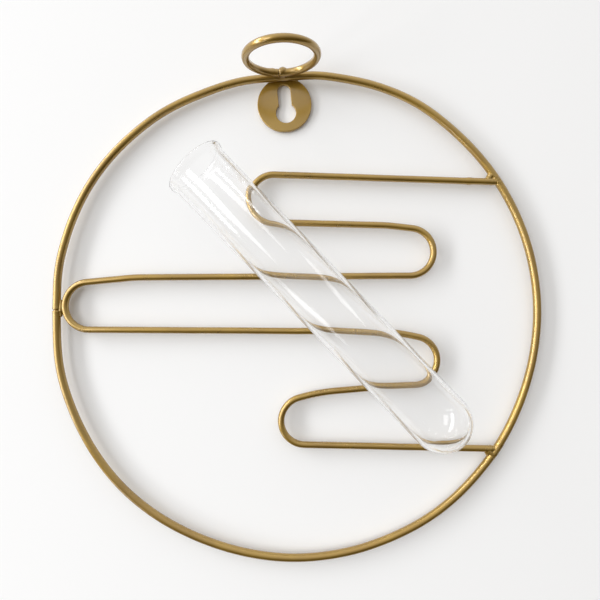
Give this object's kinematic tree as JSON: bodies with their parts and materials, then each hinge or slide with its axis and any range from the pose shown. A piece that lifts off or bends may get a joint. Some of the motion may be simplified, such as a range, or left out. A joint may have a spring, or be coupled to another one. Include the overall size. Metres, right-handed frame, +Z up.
{
  "type": "hanging wall vase",
  "caption": "Wall vase of bent wire: a round hoop with a serpentine of bars, a keyhole hanger and a small ring at the top, and a glass tube for a stem, here lying on the bars.",
  "frame": {"origin": "centre of the keyhole's round hole, on the wall", "axes": "+Y into the wall, so the vase stands out towards -Y; +Z up as the vase hangs; +X to the right of someone who faces it"},
  "size_m": [0.2054, 0.0353, 0.2052],
  "materials": {
    "gold_paint": "satin old-gold paint on bent steel wire",
    "plate_paint": "satin old-gold paint on a stamped steel disc",
    "weld_paint": "satin old-gold paint over smooth weld metal",
    "clear_glass": "clear blown test-tube glass"
  },
  "bodies": {
    "frame": {"hoop": "gold_paint", "serpentine": "gold_paint", "tube_ring": "gold_paint", "hanger_plate": "plate_paint", "weld_upper_bar": "weld_paint", "weld_lower_bar": "weld_paint", "weld_far_bend": "weld_paint", "weld_ring": "weld_paint", "weld_hanger_left": "weld_paint", "weld_hanger_right": "weld_paint"},
    "vessel": {"glass_tube": "clear_glass"}
  },
  "joints": [
    {"name": "tube_lift", "type": "slide", "parent": "frame", "child": "vessel", "axis": [0, -1, 0], "range_m": [0, 0.08]}
  ]
}
